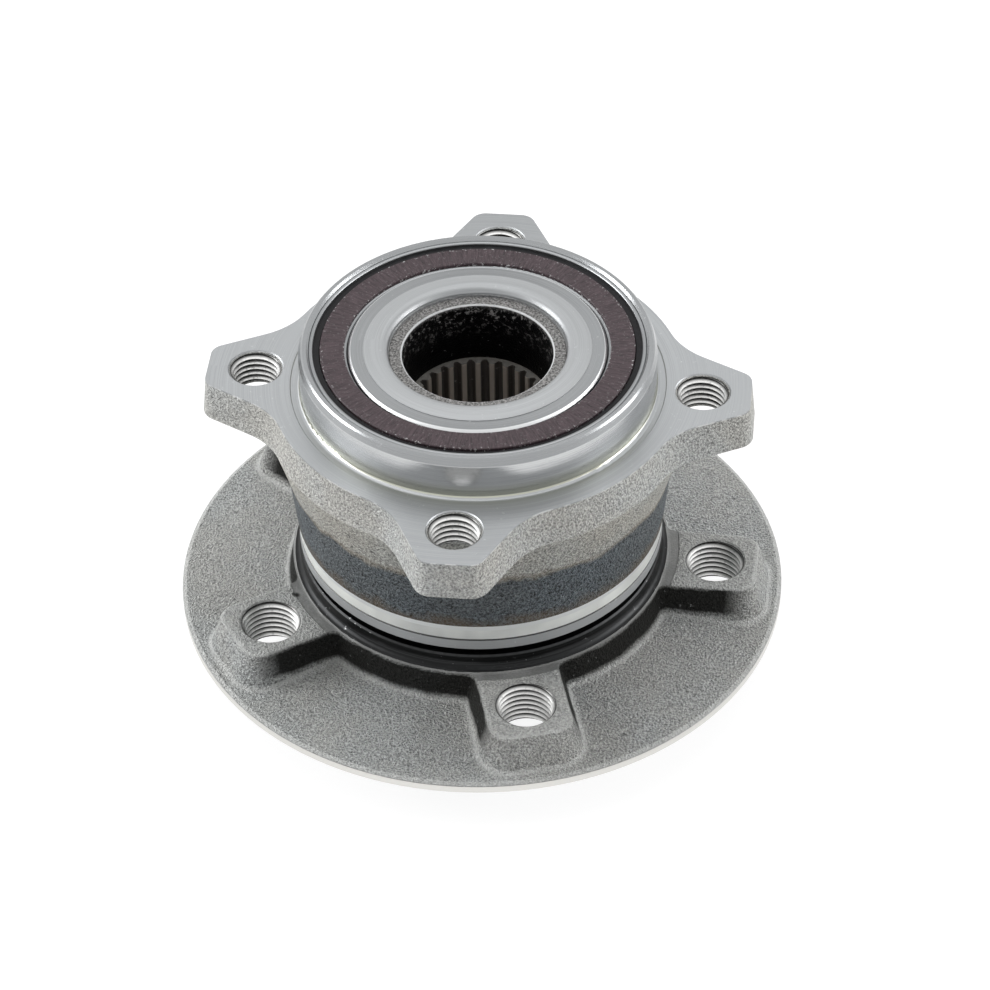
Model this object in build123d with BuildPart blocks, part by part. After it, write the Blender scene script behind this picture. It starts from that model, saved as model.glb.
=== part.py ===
from build123d import *
from math import acos, asin, cos, pi, radians, sin, sqrt, tan
import os

os.makedirs("parts", exist_ok=True)

# Wheel hub bearing, in millimetres.
# +Z runs along the hub's axis from the wheel to the knuckle.
# The origin is the centre of the face that the wheel bolts to.

# Wheel flange of the hub
wheel_hole_gap = 6.0
wheel_bolt_count = 5
wheel_thread_d = 14.0
wheel_hole_chamfer = 0.35
hub_turn = -1.8
flange_edge_w = 3.2484
flange_rim_h = 3.0
rim_round_w = 1.0
rim_round_h = 0.6
rim_bottom_chamfer = 0.6
flange_rise = 1.3

# Pilot that centres the brake disc and the wheel
wheel_pilot_r = 33.25
disc_pilot_step = 0.75
disc_pilot_h = 5.5
pilot_h = 13.0
pilot_lead_w = 1.8
pilot_lead_h = 3.0
relief_w = 1.6
relief_depth = 0.5
nut_pocket_r = 24.5
nut_pocket_corner = 2.0
nut_pocket_flare = 1.0
nut_seat_h = 4.0

# Forged bosses round the wheel bolt holes
boss_top_h = 12.0
boss_wall = 2.6
boss_end_wall = 3.0
boss_draft = 17.0
boss_corner_r = 4.4
boss_edge_r = 1.4
boss_foot_r = 2.0
turned_step_depth = 0.3
turned_step_w = 4.3

# Hub neck under the outer ring's end
neck_rise = 3.6
neck_side = 0.1
neck_edge = 0.4
neck_flare_r = 2.3
neck_foot_w = 3.2
neck_draft = 9.5
seal_land_fillet = 4.5

# Ball rows
ball_d = 12.7
ball_space = 1.2
pitch_d = 65.0
contact_angle = 38.0
race_gap = 0.1
row_spacing = 25.4
shoulder_h = 3.65
low_lip = 0.35
outer_land_h = 3.75
retain_lip = 0.25

# Outer ring
end_gap = 1.6
ring_wall = 4.4
ring_end_round = 0.7
groove_h = 3.5
groove_depth = 0.35
groove_half_w = 0.3
machined_band_h = 7.8
forged_skin = 0.4
forged_skin_h = 0.3
body_draft = 6.0
web_h = 12.7
bore_chamfer = 0.5
spigot_wall = 2.4
spigot_h = 10.8
spigot_lead_w = 0.6
spigot_lead_h = 1.5
spigot_edge = 0.4
spigot_root_r = 1.1
face_relief_w = 1.2
face_relief_depth = 0.2

# Ears of the outer ring
ear_count = 4
ear_hole_gap = 4.65
ear_thread_d = 12.0
ear_hole_chamfer = 0.5
ear_drill_runout = 5.0
ear_thickness = 9.3
ear_end_margin = 11.1
ear_tip_half_w = 6.4
ear_side_angle = 27.0
ear_tip_r = 3.6
ear_blend_r = 18.0
ear_draft = 5.5
flange_min_wall = 6.7

# Inner ring, its seat on the hub and the rolled collar
seat_wall = 4.9
seat_root_r = 0.8
inner_ring_back = 9.1
inner_ring_drop = 1.0
inner_ring_chamfer = 0.5
seat_corner = 1.0
collar_lap = 4.7
collar_seat_depth = 2.3
collar_seat_r = 2.5
collar_edge_h = 0.1
collar_crown_h = 0.7
collar_crown_w = 3.6
spindle_end_drop = 1.7
spindle_wall = 4.1
spindle_rim_w = 2.8
spindle_rim_edge = 0.3
rim_groove_w = 0.25

# Drive spline in the hub's bore
spline_teeth = 28
spline_wall = 6.5
spline_pressure_angle = 30.0
spline_addendum = 0.65
spline_dedendum = 0.75
spline_start_h = 14.0
spline_end_depth = 15.1
funnel_ledge = 0.85
exit_bore_clear = 0.5
exit_chamfer = 0.8

# Cages
cage_side_gap = 1.3
cage_radial_w = 4.2
cage_back_wall = 0.85
cage_front_h = 2.4
cage_edge = 0.5
pocket_gap = 0.2
inboard_cage_gap = 0.9
outboard_cage_gap = 2.4

# Inboard seal and the sensor ring
case_wall = 1.0
case_edge = 0.4
case_drop = 0.4
inboard_case_h = 6.0
case_web_wall = 0.9
inboard_web_reach = 6.2
carrier_wall = 0.6
carrier_bend = 0.8
carrier_h = 5.4
encoder_stand = 0.3
encoder_thick = 0.8
encoder_edge = 0.15
encoder_inner_step = 0.8
encoder_outer_gap = 1.6
encoder_wrap = 0.35
rubber_drop = 0.9
rubber_skin = 0.8
lip_gap = 0.2
lip_wall = 0.6
lip_lean = 1.0

# Outboard seal
outboard_case_inset = 0.5
outboard_case_h = 5.7
outboard_web_reach = 5.4
outboard_lining_h = 3.0

# Radii that follow from the ball rows
ball_r = ball_d / 2
pitch_r = pitch_d / 2
groove_r = ball_r + race_gap
race_bottom_r = pitch_r - groove_r
race_top_r = pitch_r + groove_r
shoulder_r = race_bottom_r + shoulder_h
low_land_r = race_bottom_r + low_lip
outer_land_r = race_top_r - outer_land_h
seal_bore_r = race_top_r - retain_lip
ring_r = seal_bore_r + ring_wall
spigot_r = seal_bore_r + spigot_wall
neck_r = ring_r - neck_side
seat_r = low_land_r - seat_wall
pocket_r = ball_r + pocket_gap
ball_count = int(pi / asin((ball_d + ball_space) / pitch_d))

# Heights that follow from the wheel face upwards
neck_h = boss_top_h + neck_rise
ring_bottom_z = neck_h + end_gap
cage_back_h = pocket_r + cage_back_wall
outboard_case_bottom_z = ring_bottom_z + outboard_case_inset
outboard_case_top_z = outboard_case_bottom_z + outboard_case_h
outboard_row_z = outboard_case_top_z + outboard_cage_gap + cage_back_h
inboard_row_z = outboard_row_z + row_spacing
ring_top_z = inboard_row_z + cage_back_h + inboard_cage_gap + inboard_case_h + case_drop
knuckle_face_z = ring_top_z - spigot_h
ear_bottom_z = knuckle_face_z - ear_thickness
inner_ring_top_z = ring_top_z - inner_ring_drop
inner_ring_bottom_z = inboard_row_z - inner_ring_back

# Holes and bolt circles
wheel_hole_r = wheel_thread_d / 2
ear_hole_r = ear_thread_d / 2
wheel_pcd = 2 * (neck_r + wheel_hole_gap + wheel_hole_r)
ear_pcd = 2 * (spigot_r + ear_hole_gap + ear_hole_r)


def groove_reach(radius):
    """Axial distance from a row's centre to where its raceway meets a radius."""
    return sqrt(groove_r**2 - (radius - pitch_r) ** 2)


def groove_point(row_z, angle):
    """Point of a raceway at an angle from the radial direction."""
    return (pitch_r + groove_r * cos(radians(angle)), row_z + groove_r * sin(radians(angle)))


def radius_of(vertex):
    """Distance of a vertex from the hub's axis."""
    return sqrt(vertex.X**2 + vertex.Y**2)


# Outer ring: the turned and forged outside, the ears, then the bore with its raceways
band_top_z = ring_bottom_z + machined_band_h
groove_z = ring_bottom_z + groove_h
body_bottom_r = ring_r + forged_skin
body_bottom_z = band_top_z + forged_skin_h
body_top_z = ear_bottom_z - web_h
body_top_r = body_bottom_r + (body_top_z - body_bottom_z) * tan(radians(body_draft))
flange_top_r = spigot_r + flange_min_wall
flange_bottom_r = flange_top_r + ear_thickness * tan(radians(ear_draft))
spigot_edge_z = ring_top_z - spigot_edge
relief_r = spigot_r + spigot_root_r + face_relief_w
relief_z = knuckle_face_z - face_relief_depth
root_top_z = relief_z + spigot_root_r
ear_end_x = ear_pcd / 2 + ear_end_margin
ear_start_x = flange_top_r * cos(radians(ear_side_angle))
ear_start_half_w = ear_tip_half_w + (ear_end_x - ear_start_x) * tan(radians(ear_side_angle))

with BuildPart() as outer_ring:
    with BuildSketch(Plane.XZ):
        with BuildLine():
            Polyline(
                (0, ring_bottom_z),
                (ring_r - ring_end_round, ring_bottom_z),
                (ring_r, ring_bottom_z + ring_end_round),
                (ring_r, groove_z - groove_half_w),
                (ring_r - groove_depth, groove_z),
                (ring_r, groove_z + groove_half_w),
                (ring_r, band_top_z),
                (body_bottom_r, body_bottom_z),
                (body_top_r, body_top_z),
                (flange_bottom_r, ear_bottom_z),
                (flange_top_r, knuckle_face_z),
                (relief_r, knuckle_face_z),
                (relief_r, root_top_z),
                (spigot_r, root_top_z),
                (spigot_r, spigot_edge_z - spigot_lead_h),
                (spigot_r - spigot_lead_w, spigot_edge_z),
                (spigot_r - spigot_lead_w - spigot_edge, ring_top_z),
                (0, ring_top_z),
                close=True,
            )
        make_face()
    revolve(axis=Axis.Z)

    with BuildSketch(Plane.XY.offset(knuckle_face_z)) as ear_outline:
        Circle(flange_top_r)
        with PolarLocations(0, ear_count):
            Polygon(
                (ear_start_x, -ear_start_half_w),
                (ear_end_x, -ear_tip_half_w),
                (ear_end_x, ear_tip_half_w),
                (ear_start_x, ear_start_half_w),
                align=None,
            )
        tips = ear_outline.vertices().filter_by(lambda v: radius_of(v) > ear_pcd / 2)
        fillet(tips, radius=ear_tip_r)
        roots = ear_outline.vertices().filter_by(lambda v: radius_of(v) < ear_pcd / 2)
        fillet(roots, radius=ear_blend_r)
    extrude(amount=-ear_thickness, taper=-ear_draft)

    with BuildSketch(Plane.XZ):
        with BuildLine():
            Polyline(
                (0, ring_bottom_z),
                (seal_bore_r + bore_chamfer, ring_bottom_z),
                (seal_bore_r, ring_bottom_z + bore_chamfer),
                (seal_bore_r, outboard_row_z - groove_reach(seal_bore_r)),
            )
            ThreePointArc(
                (seal_bore_r, outboard_row_z - groove_reach(seal_bore_r)),
                groove_point(outboard_row_z, contact_angle),
                (outer_land_r, outboard_row_z + groove_reach(outer_land_r)),
            )
            Line(
                (outer_land_r, outboard_row_z + groove_reach(outer_land_r)),
                (outer_land_r, inboard_row_z - groove_reach(outer_land_r)),
            )
            ThreePointArc(
                (outer_land_r, inboard_row_z - groove_reach(outer_land_r)),
                groove_point(inboard_row_z, -contact_angle),
                (seal_bore_r, inboard_row_z + groove_reach(seal_bore_r)),
            )
            Polyline(
                (seal_bore_r, inboard_row_z + groove_reach(seal_bore_r)),
                (seal_bore_r, ring_top_z - bore_chamfer),
                (seal_bore_r + bore_chamfer, ring_top_z),
                (0, ring_top_z),
                (0, ring_bottom_z),
            )
        make_face()
        with BuildLine():
            TangentArc(
                (spigot_r, root_top_z),
                (spigot_r + spigot_root_r, relief_z),
                tangent=(0, -1),
            )
            Polyline(
                (spigot_r + spigot_root_r, relief_z),
                (relief_r - face_relief_depth, relief_z),
                (relief_r, knuckle_face_z),
                (relief_r, root_top_z),
                (spigot_r, root_top_z),
            )
        make_face()
    revolve(axis=Axis.Z, mode=Mode.SUBTRACT)

    with BuildSketch(Plane.XY.offset(knuckle_face_z)):
        with PolarLocations(ear_pcd / 2, ear_count):
            Circle(ear_hole_r)
    extrude(amount=-ear_thickness - ear_drill_runout, mode=Mode.SUBTRACT)
    hole_edges = outer_ring.edges().filter_by(GeomType.CIRCLE)
    hole_mouths = hole_edges.filter_by(lambda e: abs(e.radius - ear_hole_r) < ear_hole_chamfer)
    chamfer(hole_mouths.group_by(Axis.Z)[-1], length=ear_hole_chamfer)
outer_ring.part.label = "outer_ring"
export_step(outer_ring.part, "parts/outer_ring.step")

# Wheel hub: one forging with the flange, pilots, neck, outboard raceway and rolled collar
disc_pilot_r = wheel_pilot_r + disc_pilot_step
neck_foot_r = neck_r + neck_foot_w
neck_foot_z = flange_rim_h + flange_rise
neck_forged_r = neck_foot_r - (neck_h - neck_foot_z) * tan(radians(neck_draft))
turned_step_z = boss_top_h - turned_step_depth
boss_start_r = shoulder_r + seal_land_fillet
boss_spread = (boss_top_h - flange_rim_h) * tan(radians(boss_draft))
boss_half_w = wheel_hole_r + boss_wall
boss_end_r = wheel_pcd / 2 + wheel_hole_r + boss_end_wall + boss_spread
flange_r = boss_end_r + flange_edge_w
collar_r = seat_r + collar_lap
collar_seat_z = inner_ring_top_z - collar_seat_depth
collar_edge_z = inner_ring_top_z + collar_edge_h
collar_top_z = inner_ring_top_z + collar_crown_h
collar_crown_r = collar_r - collar_crown_w
spindle_end_z = inner_ring_top_z - spindle_end_drop
funnel_r = seat_r - spindle_wall
rim_outer_r = funnel_r + spindle_rim_w
collar_mouth_r = rim_outer_r + rim_groove_w
spline_pitch_r = seat_r - spline_wall
spline_tip_r = spline_pitch_r - spline_addendum
spline_root_r = spline_pitch_r + spline_dedendum
spline_base_r = spline_pitch_r * cos(radians(spline_pressure_angle))
spline_end_z = spindle_end_z - spline_end_depth
exit_bore_r = spline_root_r + exit_bore_clear


def involute(angle):
    """Involute function of a pressure angle in radians."""
    return tan(angle) - angle


def flank_point(radius, side):
    """Point of a spline groove's flank at a radius, on the side +1 or -1."""
    roll = involute(radians(spline_pressure_angle)) - involute(acos(spline_base_r / radius))
    angle = side * (pi / (2 * spline_teeth) + roll)
    return (radius * cos(angle), radius * sin(angle))


def is_boss_foot(edge):
    """True where a boss or the neck rises from the flange, and where a boss meets the neck."""
    ends = [vertex.Z for vertex in edge.vertices()]
    on_flange = edge.center().Z < neck_foot_z + boss_foot_r and min(ends) > flange_rim_h
    at_neck = min(ends) < neck_foot_z + boss_foot_r and max(ends) > boss_top_h - 2 * boss_edge_r
    outside = radius_of(edge.center()) > neck_forged_r
    return outside and (on_flange or at_neck)


with BuildPart() as wheel_bosses:
    with BuildSketch(Plane.XY.offset(flange_rim_h)):
        with PolarLocations((boss_start_r + boss_end_r) / 2, wheel_bolt_count, start_angle=hub_turn):
            RectangleRounded(
                boss_end_r - boss_start_r,
                2 * (boss_half_w + boss_spread),
                boss_corner_r + boss_spread,
            )
    extrude(amount=boss_top_h - flange_rim_h, taper=boss_draft)
    fillet(wheel_bosses.edges().group_by(Axis.Z)[-1], radius=boss_edge_r)

with BuildPart() as wheel_hub:
    with BuildSketch(Plane.XZ):
        with BuildLine():
            Polyline(
                (spline_tip_r, spline_start_h),
                (exit_bore_r, spline_start_h),
                (exit_bore_r, nut_seat_h + exit_chamfer),
                (exit_bore_r + exit_chamfer, nut_seat_h),
                (nut_pocket_r - nut_pocket_corner, nut_seat_h),
            )
            TangentArc(
                (nut_pocket_r - nut_pocket_corner, nut_seat_h),
                (nut_pocket_r, nut_seat_h - nut_pocket_corner),
                tangent=(1, 0),
            )
            Polyline(
                (nut_pocket_r, nut_seat_h - nut_pocket_corner),
                (nut_pocket_r + nut_pocket_flare, -pilot_h),
                (wheel_pilot_r - pilot_lead_w, -pilot_h),
                (wheel_pilot_r, pilot_lead_h - pilot_h),
                (wheel_pilot_r, -disc_pilot_h - disc_pilot_step),
                (disc_pilot_r, -disc_pilot_h),
                (disc_pilot_r, relief_depth),
                (disc_pilot_r + relief_w, relief_depth),
                (disc_pilot_r + relief_w + relief_depth, 0),
                (flange_r - rim_bottom_chamfer, 0),
                (flange_r, rim_bottom_chamfer),
                (flange_r, flange_rim_h - rim_round_h),
                (flange_r - rim_round_w, flange_rim_h),
                (neck_foot_r, neck_foot_z),
                (neck_forged_r, neck_h),
                (shoulder_r + seal_land_fillet, neck_h),
            )
            TangentArc(
                (shoulder_r + seal_land_fillet, neck_h),
                (shoulder_r, neck_h + seal_land_fillet),
                tangent=(-1, 0),
            )
            Line(
                (shoulder_r, neck_h + seal_land_fillet),
                (shoulder_r, outboard_row_z - groove_reach(shoulder_r)),
            )
            ThreePointArc(
                (shoulder_r, outboard_row_z - groove_reach(shoulder_r)),
                groove_point(outboard_row_z, 180 + contact_angle),
                (low_land_r, outboard_row_z + groove_reach(low_land_r)),
            )
            Polyline(
                (low_land_r, outboard_row_z + groove_reach(low_land_r)),
                (low_land_r, inner_ring_bottom_z),
                (seat_r + seat_root_r, inner_ring_bottom_z),
            )
            TangentArc(
                (seat_r + seat_root_r, inner_ring_bottom_z),
                (seat_r, inner_ring_bottom_z + seat_root_r),
                tangent=(-1, 0),
            )
            Line(
                (seat_r, inner_ring_bottom_z + seat_root_r),
                (seat_r, collar_seat_z - collar_seat_r),
            )
            TangentArc(
                (seat_r, collar_seat_z - collar_seat_r),
                (seat_r + collar_seat_r, collar_seat_z),
                tangent=(0, 1),
            )
            Polyline(
                (seat_r + collar_seat_r, collar_seat_z),
                (collar_r, collar_seat_z),
                (collar_r, collar_edge_z),
            )
            TangentArc(
                (collar_crown_r, collar_top_z),
                (collar_r, collar_edge_z),
                tangent=(1, 0),
            )
            TangentArc(
                (collar_crown_r, collar_top_z),
                (collar_mouth_r, spindle_end_z),
                tangent=(-1, 0),
            )
            Polyline(
                (collar_mouth_r, spindle_end_z),
                (rim_outer_r + rim_groove_w / 2, spindle_end_z - rim_groove_w),
                (rim_outer_r, spindle_end_z),
                (funnel_r + spindle_rim_edge, spindle_end_z),
                (funnel_r, spindle_end_z - spindle_rim_edge),
                (spline_root_r + funnel_ledge, spline_end_z),
                (spline_tip_r, spline_end_z),
                (spline_tip_r, spline_start_h),
            )
        make_face()
    revolve(axis=Axis.Z)

    add(wheel_bosses.part)
    foot_edges = wheel_hub.edges().filter_by(is_boss_foot)
    fillet(foot_edges, radius=boss_foot_r)

    with BuildSketch(Plane.XZ):
        with BuildLine():
            Polyline(
                (neck_r - neck_edge, neck_h),
                (neck_r, neck_h - neck_edge),
                (neck_r, turned_step_z + neck_flare_r),
            )
            TangentArc(
                (neck_r, turned_step_z + neck_flare_r),
                (neck_r + neck_flare_r, turned_step_z),
                tangent=(0, -1),
            )
            Polyline(
                (neck_r + neck_flare_r, turned_step_z),
                (neck_r + turned_step_w, turned_step_z),
                (neck_r + turned_step_w, neck_h),
                (neck_r - neck_edge, neck_h),
            )
        make_face()
    revolve(axis=Axis.Z, mode=Mode.SUBTRACT)

    with BuildSketch(Plane.XY.offset(boss_top_h)):
        with PolarLocations(wheel_pcd / 2, wheel_bolt_count, start_angle=hub_turn):
            Circle(wheel_hole_r)
    extrude(amount=-boss_top_h, mode=Mode.SUBTRACT)
    hub_circles = wheel_hub.edges().filter_by(GeomType.CIRCLE)
    hole_mouths = hub_circles.filter_by(lambda e: abs(e.radius - wheel_hole_r) < wheel_hole_chamfer)
    chamfer(hole_mouths, length=wheel_hole_chamfer)

    with BuildSketch(Plane.XY.offset(spline_end_z)):
        with BuildSketch(mode=Mode.PRIVATE) as spline_groove:
            mouth_r = (spline_tip_r + spline_base_r) / 2
            with BuildLine():
                for side in (-1, 1):
                    ThreePointArc(
                        flank_point(mouth_r, side),
                        flank_point(spline_pitch_r, side),
                        flank_point(spline_root_r, side),
                    )
                for end_r in (mouth_r, spline_root_r):
                    Line(flank_point(end_r, -1), flank_point(end_r, 1))
            make_face()
        with PolarLocations(0, spline_teeth):
            add(spline_groove.sketch)
    extrude(amount=spline_start_h - spline_end_z, mode=Mode.SUBTRACT)
wheel_hub.part.label = "wheel_hub"
export_step(wheel_hub.part, "parts/wheel_hub.step")

# Inner ring of the inboard row, held on its seat by the rolled collar
with BuildPart() as inner_ring:
    with BuildSketch(Plane.XZ):
        with BuildLine():
            TangentArc(
                (seat_r, inner_ring_bottom_z + seat_corner),
                (seat_r + seat_corner, inner_ring_bottom_z),
                tangent=(0, -1),
            )
            Polyline(
                (seat_r + seat_corner, inner_ring_bottom_z),
                (low_land_r - inner_ring_chamfer, inner_ring_bottom_z),
                (low_land_r, inner_ring_bottom_z + inner_ring_chamfer),
                (low_land_r, inboard_row_z - groove_reach(low_land_r)),
            )
            ThreePointArc(
                (low_land_r, inboard_row_z - groove_reach(low_land_r)),
                groove_point(inboard_row_z, 180 - contact_angle),
                (shoulder_r, inboard_row_z + groove_reach(shoulder_r)),
            )
            Polyline(
                (shoulder_r, inboard_row_z + groove_reach(shoulder_r)),
                (shoulder_r, inner_ring_top_z - inner_ring_chamfer),
                (shoulder_r - inner_ring_chamfer, inner_ring_top_z),
                (collar_r, inner_ring_top_z),
                (collar_r, collar_seat_z),
                (seat_r + collar_seat_r, collar_seat_z),
            )
            TangentArc(
                (seat_r, collar_seat_z - collar_seat_r),
                (seat_r + collar_seat_r, collar_seat_z),
                tangent=(0, 1),
            )
            Line(
                (seat_r, collar_seat_z - collar_seat_r),
                (seat_r, inner_ring_bottom_z + seat_corner),
            )
        make_face()
    revolve(axis=Axis.Z)
inner_ring.part.label = "inner_ring"
export_step(inner_ring.part, "parts/inner_ring.step")

# Cages with snap-in pockets, their backs towards the seals, and the balls
cage_inner_r = shoulder_r + cage_side_gap
cage_outer_r = cage_inner_r + cage_radial_w

for row_name, row_z, seal_side in (("inboard", inboard_row_z, 1), ("outboard", outboard_row_z, -1)):
    back_z = row_z + seal_side * cage_back_h
    with BuildPart() as cage:
        with BuildSketch(Plane.XZ):
            with BuildLine():
                Polyline(
                    (cage_inner_r, row_z - seal_side * cage_front_h),
                    (cage_outer_r, row_z - seal_side * cage_front_h),
                    (cage_outer_r, back_z - seal_side * cage_edge),
                    (cage_outer_r - cage_edge, back_z),
                    (cage_inner_r + cage_edge, back_z),
                    (cage_inner_r, back_z - seal_side * cage_edge),
                    close=True,
                )
            make_face()
        revolve(axis=Axis.Z)
        with Locations(Plane.XY.offset(row_z)):
            with PolarLocations(pitch_r, ball_count):
                Sphere(pocket_r, mode=Mode.SUBTRACT)
    cage.part.label = row_name + "_cage"
    export_step(cage.part, "parts/" + row_name + "_cage.step")

    for number, spot in enumerate(PolarLocations(pitch_r, ball_count).locations, start=1):
        with BuildPart(Plane(spot).offset(row_z)) as ball:
            Sphere(ball_r)
        ball.part.label = f"{row_name}_ball_{number:02d}"
        export_step(ball.part, f"parts/{row_name}_ball_{number:02d}.step")

# Carrier pressed on the inner ring's shoulder, with the sensor ring bonded to its flange
encoder_top_z = inner_ring_top_z + encoder_stand
carrier_top_z = encoder_top_z - encoder_thick
carrier_under_z = carrier_top_z - carrier_wall
carrier_bottom_z = carrier_top_z - carrier_h
carrier_outer_r = shoulder_r + carrier_wall
encoder_inner_r = shoulder_r + encoder_inner_step
encoder_outer_r = seal_bore_r - case_wall - encoder_outer_gap
carrier_rim_r = encoder_outer_r - encoder_wrap

with BuildPart() as encoder_carrier:
    with BuildSketch(Plane.XZ):
        with BuildLine():
            Line((shoulder_r, carrier_bottom_z), (shoulder_r, carrier_top_z - carrier_bend))
            TangentArc(
                (shoulder_r, carrier_top_z - carrier_bend),
                (shoulder_r + carrier_bend, carrier_top_z),
                tangent=(0, 1),
            )
            Polyline(
                (shoulder_r + carrier_bend, carrier_top_z),
                (carrier_rim_r, carrier_top_z),
                (carrier_rim_r, carrier_under_z),
                (shoulder_r + carrier_bend, carrier_under_z),
            )
            TangentArc(
                (carrier_outer_r, carrier_top_z - carrier_bend),
                (shoulder_r + carrier_bend, carrier_under_z),
                tangent=(0, 1),
            )
            Polyline(
                (carrier_outer_r, carrier_top_z - carrier_bend),
                (carrier_outer_r, carrier_bottom_z),
                (shoulder_r, carrier_bottom_z),
            )
        make_face()
    revolve(axis=Axis.Z)
encoder_carrier.part.label = "encoder_carrier"
export_step(encoder_carrier.part, "parts/encoder_carrier.step")

with BuildPart() as encoder_ring:
    with BuildSketch(Plane.XZ):
        with BuildLine():
            Polyline(
                (encoder_inner_r, carrier_top_z),
                (encoder_inner_r, encoder_top_z - encoder_edge),
                (encoder_inner_r + encoder_edge, encoder_top_z),
                (encoder_outer_r - encoder_edge, encoder_top_z),
                (encoder_outer_r, encoder_top_z - encoder_edge),
                (encoder_outer_r, carrier_under_z),
                (carrier_rim_r, carrier_under_z),
                (carrier_rim_r, carrier_top_z),
                close=True,
            )
        make_face()
    revolve(axis=Axis.Z)
encoder_ring.part.label = "encoder_ring"
export_step(encoder_ring.part, "parts/encoder_ring.step")

# Inboard seal: a pressed case in the outer ring's bore, with bonded rubber lips
inboard_case_top_z = ring_top_z - case_drop
inboard_case_bottom_z = inboard_case_top_z - inboard_case_h
inboard_web_top_z = inboard_case_bottom_z + case_web_wall
inboard_web_r = seal_bore_r - inboard_web_reach
case_inner_r = seal_bore_r - case_wall

with BuildPart() as inboard_seal_case:
    with BuildSketch(Plane.XZ):
        with BuildLine():
            Polyline(
                (inboard_web_r, inboard_case_bottom_z),
                (seal_bore_r - case_edge, inboard_case_bottom_z),
                (seal_bore_r, inboard_case_bottom_z + case_edge),
                (seal_bore_r, inboard_case_top_z - case_edge),
            )
            TangentArc(
                (seal_bore_r, inboard_case_top_z - case_edge),
                (seal_bore_r - case_edge, inboard_case_top_z),
                tangent=(0, 1),
            )
            Line(
                (seal_bore_r - case_edge, inboard_case_top_z),
                (case_inner_r + case_edge, inboard_case_top_z),
            )
            TangentArc(
                (case_inner_r + case_edge, inboard_case_top_z),
                (case_inner_r, inboard_case_top_z - case_edge),
                tangent=(-1, 0),
            )
            Polyline(
                (case_inner_r, inboard_case_top_z - case_edge),
                (case_inner_r, inboard_web_top_z),
                (inboard_web_r, inboard_web_top_z),
                (inboard_web_r, inboard_case_bottom_z),
            )
        make_face()
    revolve(axis=Axis.Z)
inboard_seal_case.part.label = "inboard_seal_case"
export_step(inboard_seal_case.part, "parts/inboard_seal_case.step")

rubber_top_z = inboard_case_top_z - rubber_drop
rubber_floor_z = inboard_web_top_z + rubber_skin
rubber_bore_r = encoder_outer_r + lip_gap
lip_touch_r = carrier_outer_r + lip_gap
lip_root_r = inboard_web_r - rubber_skin
axial_lip_z = carrier_under_z - lip_gap
axial_lip_r = carrier_rim_r - lip_wall

with BuildPart() as inboard_seal_lips:
    with BuildSketch(Plane.XZ):
        with BuildLine():
            Polyline(
                (case_inner_r, inboard_web_top_z),
                (case_inner_r, rubber_top_z),
                (rubber_bore_r, rubber_top_z),
                (rubber_bore_r, rubber_floor_z),
                (axial_lip_r, rubber_floor_z),
                (axial_lip_r + lip_wall, axial_lip_z),
                (axial_lip_r, axial_lip_z),
                (axial_lip_r - lip_wall, rubber_floor_z),
                (lip_root_r + lip_wall, rubber_floor_z),
                (lip_touch_r + lip_wall, rubber_floor_z + lip_lean + lip_wall),
                (lip_touch_r, rubber_floor_z + lip_lean),
                (lip_root_r, rubber_floor_z - lip_wall),
                (lip_root_r, inboard_case_bottom_z + lip_wall),
                (lip_touch_r, inboard_case_bottom_z),
                (lip_touch_r, inboard_case_bottom_z - lip_gap),
                (inboard_web_r, inboard_case_bottom_z),
                (inboard_web_r, inboard_web_top_z),
                close=True,
            )
        make_face()
    revolve(axis=Axis.Z)
inboard_seal_lips.part.label = "inboard_seal_lips"
export_step(inboard_seal_lips.part, "parts/inboard_seal_lips.step")

# Outboard seal: its lips face the hub's neck and shoulder
outboard_web_z = outboard_case_top_z - case_web_wall
outboard_web_r = seal_bore_r - outboard_web_reach

with BuildPart() as outboard_seal_case:
    with BuildSketch(Plane.XZ):
        with BuildLine():
            Polyline(
                (case_inner_r, outboard_case_bottom_z),
                (seal_bore_r, outboard_case_bottom_z),
                (seal_bore_r, outboard_case_top_z - case_edge),
                (seal_bore_r - case_edge, outboard_case_top_z),
                (outboard_web_r, outboard_case_top_z),
                (outboard_web_r, outboard_web_z),
                (case_inner_r, outboard_web_z),
                close=True,
            )
        make_face()
    revolve(axis=Axis.Z)
outboard_seal_case.part.label = "outboard_seal_case"
export_step(outboard_seal_case.part, "parts/outboard_seal_case.step")

outboard_skin_z = outboard_web_z - rubber_skin
face_lip_z = neck_h + lip_gap
lining_r = case_inner_r - rubber_skin
outer_lip_r = lining_r - lip_lean
inner_lip_r = outer_lip_r - lip_wall - lip_lean
shoulder_lip_r = shoulder_r + lip_gap

with BuildPart() as outboard_seal_lips:
    with BuildSketch(Plane.XZ):
        with BuildLine():
            Polyline(
                (case_inner_r, outboard_web_z),
                (case_inner_r, outboard_web_z - outboard_lining_h),
                (lining_r, outboard_web_z - outboard_lining_h + rubber_skin),
                (lining_r, outboard_skin_z),
                (outer_lip_r, outboard_skin_z),
                (outer_lip_r + lip_lean, face_lip_z),
                (outer_lip_r + lip_lean - lip_wall, face_lip_z),
                (outer_lip_r - lip_wall, outboard_skin_z),
                (inner_lip_r, outboard_skin_z),
                (inner_lip_r + lip_lean, face_lip_z),
                (inner_lip_r + lip_lean - lip_wall, face_lip_z),
                (inner_lip_r - lip_wall, outboard_skin_z),
                (outboard_web_r - lip_wall, outboard_skin_z),
                (shoulder_lip_r, outboard_web_z),
                (shoulder_lip_r, outboard_web_z + lip_wall),
                (outboard_web_r, outboard_case_top_z),
                (outboard_web_r, outboard_web_z),
                close=True,
            )
        make_face()
    revolve(axis=Axis.Z)
outboard_seal_lips.part.label = "outboard_seal_lips"
export_step(outboard_seal_lips.part, "parts/outboard_seal_lips.step")
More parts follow.
